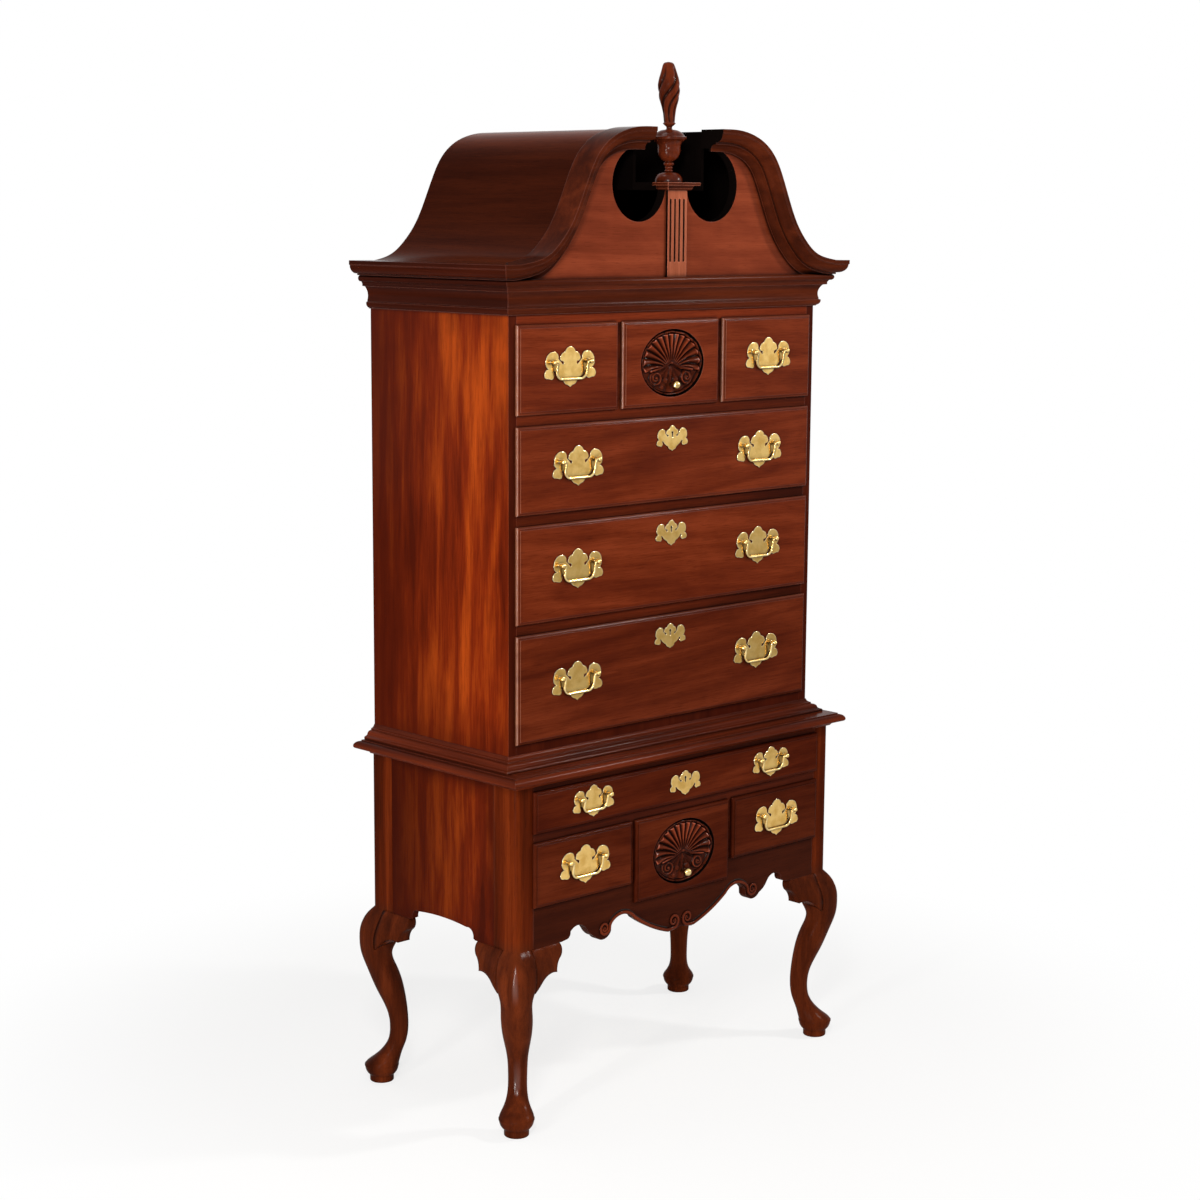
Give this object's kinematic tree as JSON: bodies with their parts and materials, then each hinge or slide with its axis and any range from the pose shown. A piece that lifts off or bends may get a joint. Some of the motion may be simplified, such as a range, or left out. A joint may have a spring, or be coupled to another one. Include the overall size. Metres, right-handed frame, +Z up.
{
  "type": "highboy chest of drawers",
  "caption": "Bonnet-top highboy: scrolled pediment with flame finial, lipped drawers with drop pulls and carved shells, scrolled apron and cabriole legs with pad feet.",
  "frame": {"origin": "on the floor, under the middle of the whole highboy's bounding box", "axes": "+X to the right of someone facing the drawers, +Y towards the back, +Z up"},
  "size_m": [1.0274, 0.5325, 2.218],
  "materials": {
    "mahogany": "satin lacquered mahogany",
    "mahogany_side": "satin lacquered mahogany, lighter figure",
    "plain_wood": "unfinished secondary wood",
    "brass": "polished brass"
  },
  "bodies": {
    "case": {"front_legs": "mahogany", "rear_legs": "mahogany", "knee_blocks": "mahogany", "lower_case_apron": "mahogany", "lower_case_sides": "mahogany_side", "lower_drawer_rails": "mahogany", "table_moulding": "mahogany", "base_moulding": "mahogany", "upper_case_carcass": "mahogany_side", "upper_drawer_rails": "mahogany", "back_panels": "plain_wood", "drawer_runners": "plain_wood", "cornice_moulding": "mahogany", "crown_moulding": "mahogany", "tympanum": "mahogany", "bonnet": "mahogany", "plinth": "mahogany", "finial": "mahogany"},
    "upper_left_drawer": {"upper_left_drawer_front": "mahogany", "upper_left_drawer_box": "plain_wood", "upper_left_drawer_brasses": "brass"},
    "upper_left_drawer_bail": {"upper_left_drawer_bail": "brass"},
    "upper_shell_drawer": {"upper_shell_drawer_front": "mahogany", "upper_shell_drawer_box": "plain_wood", "upper_shell_drawer_knob": "brass"},
    "upper_right_drawer": {"upper_right_drawer_front": "mahogany", "upper_right_drawer_box": "plain_wood", "upper_right_drawer_brasses": "brass"},
    "upper_right_drawer_bail": {"upper_right_drawer_bail": "brass"},
    "upper_long_drawer_1": {"upper_long_drawer_1_front": "mahogany", "upper_long_drawer_1_box": "plain_wood", "upper_long_drawer_1_brasses": "brass"},
    "upper_long_drawer_1_left_bail": {"upper_long_drawer_1_left_bail": "brass"},
    "upper_long_drawer_1_right_bail": {"upper_long_drawer_1_right_bail": "brass"},
    "upper_long_drawer_2": {"upper_long_drawer_2_front": "mahogany", "upper_long_drawer_2_box": "plain_wood", "upper_long_drawer_2_brasses": "brass"},
    "upper_long_drawer_2_left_bail": {"upper_long_drawer_2_left_bail": "brass"},
    "upper_long_drawer_2_right_bail": {"upper_long_drawer_2_right_bail": "brass"},
    "upper_long_drawer_3": {"upper_long_drawer_3_front": "mahogany", "upper_long_drawer_3_box": "plain_wood", "upper_long_drawer_3_brasses": "brass"},
    "upper_long_drawer_3_left_bail": {"upper_long_drawer_3_left_bail": "brass"},
    "upper_long_drawer_3_right_bail": {"upper_long_drawer_3_right_bail": "brass"},
    "lower_long_drawer": {"lower_long_drawer_front": "mahogany", "lower_long_drawer_box": "plain_wood", "lower_long_drawer_brasses": "brass"},
    "lower_long_drawer_left_bail": {"lower_long_drawer_left_bail": "brass"},
    "lower_long_drawer_right_bail": {"lower_long_drawer_right_bail": "brass"},
    "lower_left_drawer": {"lower_left_drawer_front": "mahogany", "lower_left_drawer_box": "plain_wood", "lower_left_drawer_brasses": "brass"},
    "lower_left_drawer_bail": {"lower_left_drawer_bail": "brass"},
    "lower_shell_drawer": {"lower_shell_drawer_front": "mahogany", "lower_shell_drawer_box": "plain_wood", "lower_shell_drawer_knob": "brass"},
    "lower_right_drawer": {"lower_right_drawer_front": "mahogany", "lower_right_drawer_box": "plain_wood", "lower_right_drawer_brasses": "brass"},
    "lower_right_drawer_bail": {"lower_right_drawer_bail": "brass"}
  },
  "joints": [
    {"name": "upper_left_drawer_slide", "type": "slide", "parent": "case", "child": "upper_left_drawer", "axis": [0, -1, 0], "range_m": [0, 0.32]},
    {"name": "upper_left_drawer_bail_swing", "type": "hinge", "parent": "upper_left_drawer", "child": "upper_left_drawer_bail", "pos_m": [-0.2985, -0.20635, 1.60665], "axis": [-1, 0, 0], "range_deg": [0, 195]},
    {"name": "upper_shell_drawer_slide", "type": "slide", "parent": "case", "child": "upper_shell_drawer", "axis": [0, -1, 0], "range_m": [0, 0.32]},
    {"name": "upper_right_drawer_slide", "type": "slide", "parent": "case", "child": "upper_right_drawer", "axis": [0, -1, 0], "range_m": [0, 0.32]},
    {"name": "upper_right_drawer_bail_swing", "type": "hinge", "parent": "upper_right_drawer", "child": "upper_right_drawer_bail", "pos_m": [0.2985, -0.20635, 1.60665], "axis": [-1, 0, 0], "range_deg": [0, 195]},
    {"name": "upper_long_drawer_1_slide", "type": "slide", "parent": "case", "child": "upper_long_drawer_1", "axis": [0, -1, 0], "range_m": [0, 0.32]},
    {"name": "upper_long_drawer_1_left_bail_swing", "type": "hinge", "parent": "upper_long_drawer_1", "child": "upper_long_drawer_1_left_bail", "pos_m": [-0.2745, -0.20635, 1.40265], "axis": [-1, 0, 0], "range_deg": [0, 195]},
    {"name": "upper_long_drawer_1_right_bail_swing", "type": "hinge", "parent": "upper_long_drawer_1", "child": "upper_long_drawer_1_right_bail", "pos_m": [0.2745, -0.20635, 1.40265], "axis": [-1, 0, 0], "range_deg": [0, 195]},
    {"name": "upper_long_drawer_2_slide", "type": "slide", "parent": "case", "child": "upper_long_drawer_2", "axis": [0, -1, 0], "range_m": [0, 0.32]},
    {"name": "upper_long_drawer_2_left_bail_swing", "type": "hinge", "parent": "upper_long_drawer_2", "child": "upper_long_drawer_2_left_bail", "pos_m": [-0.2745, -0.20635, 1.1884], "axis": [-1, 0, 0], "range_deg": [0, 195]},
    {"name": "upper_long_drawer_2_right_bail_swing", "type": "hinge", "parent": "upper_long_drawer_2", "child": "upper_long_drawer_2_right_bail", "pos_m": [0.2745, -0.20635, 1.1884], "axis": [-1, 0, 0], "range_deg": [0, 195]},
    {"name": "upper_long_drawer_3_slide", "type": "slide", "parent": "case", "child": "upper_long_drawer_3", "axis": [0, -1, 0], "range_m": [0, 0.32]},
    {"name": "upper_long_drawer_3_left_bail_swing", "type": "hinge", "parent": "upper_long_drawer_3", "child": "upper_long_drawer_3_left_bail", "pos_m": [-0.2745, -0.20635, 0.9509], "axis": [-1, 0, 0], "range_deg": [0, 195]},
    {"name": "upper_long_drawer_3_right_bail_swing", "type": "hinge", "parent": "upper_long_drawer_3", "child": "upper_long_drawer_3_right_bail", "pos_m": [0.2745, -0.20635, 0.9509], "axis": [-1, 0, 0], "range_deg": [0, 195]},
    {"name": "lower_long_drawer_slide", "type": "slide", "parent": "case", "child": "lower_long_drawer", "axis": [0, -1, 0], "range_m": [0, 0.32]},
    {"name": "lower_long_drawer_left_bail_swing", "type": "hinge", "parent": "lower_long_drawer", "child": "lower_long_drawer_left_bail", "pos_m": [-0.2745, -0.25785, 0.70031], "axis": [-1, 0, 0], "range_deg": [0, 195]},
    {"name": "lower_long_drawer_right_bail_swing", "type": "hinge", "parent": "lower_long_drawer", "child": "lower_long_drawer_right_bail", "pos_m": [0.2745, -0.25785, 0.70031], "axis": [-1, 0, 0], "range_deg": [0, 195]},
    {"name": "lower_left_drawer_slide", "type": "slide", "parent": "case", "child": "lower_left_drawer", "axis": [0, -1, 0], "range_m": [0, 0.32]},
    {"name": "lower_left_drawer_bail_swing", "type": "hinge", "parent": "lower_left_drawer", "child": "lower_left_drawer_bail", "pos_m": [-0.29675, -0.25785, 0.5699], "axis": [-1, 0, 0], "range_deg": [0, 195]},
    {"name": "lower_shell_drawer_slide", "type": "slide", "parent": "case", "child": "lower_shell_drawer", "axis": [0, -1, 0], "range_m": [0, 0.32]},
    {"name": "lower_right_drawer_slide", "type": "slide", "parent": "case", "child": "lower_right_drawer", "axis": [0, -1, 0], "range_m": [0, 0.32]},
    {"name": "lower_right_drawer_bail_swing", "type": "hinge", "parent": "lower_right_drawer", "child": "lower_right_drawer_bail", "pos_m": [0.29675, -0.25785, 0.5699], "axis": [-1, 0, 0], "range_deg": [0, 195]}
  ]
}
